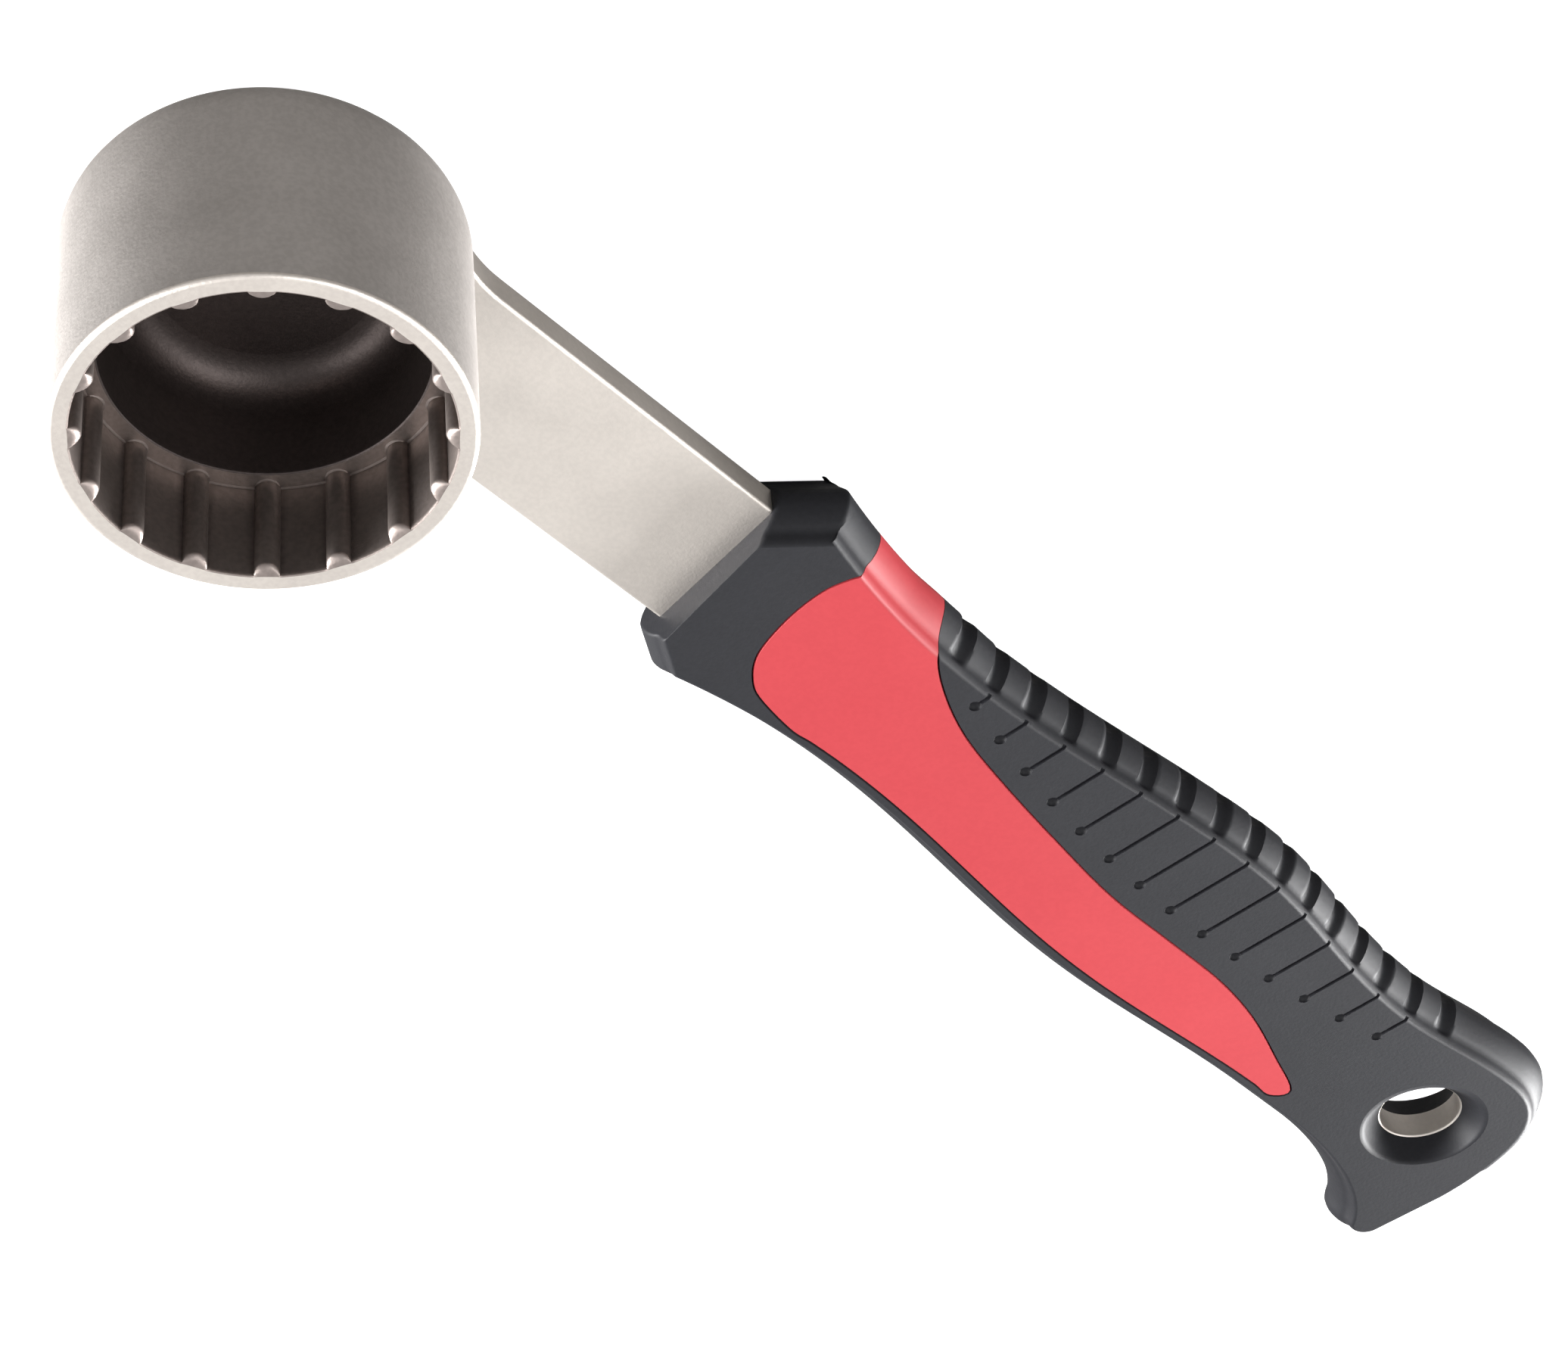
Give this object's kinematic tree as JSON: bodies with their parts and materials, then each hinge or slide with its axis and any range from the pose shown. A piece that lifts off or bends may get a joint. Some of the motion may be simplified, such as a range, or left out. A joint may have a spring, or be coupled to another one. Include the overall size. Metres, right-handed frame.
{
  "type": "bottom bracket tool",
  "caption": "Hand tool with a toothed round socket on the end of a flat steel bar and a contoured two-colour grip with a ribbed side and a hanging hole.",
  "frame": {"origin": "on the socket's axis, at the ledge below the teeth", "axes": "+Z along the socket's axis and out of its mouth, +X along the bar from the socket to the grip, +Y to the grip's ribbed side"},
  "size_m": [0.297, 0.0533, 0.0466],
  "materials": {
    "socket_steel": "satin nickel plate",
    "bar_steel": "satin nickel plate",
    "red_plastic": "semi-gloss red",
    "black_rubber": "fine matt black"
  },
  "bodies": {
    "root": {"socket": "socket_steel", "handle_bar": "bar_steel", "grip_core": "red_plastic", "grip_cover": "black_rubber"}
  },
  "joints": []
}
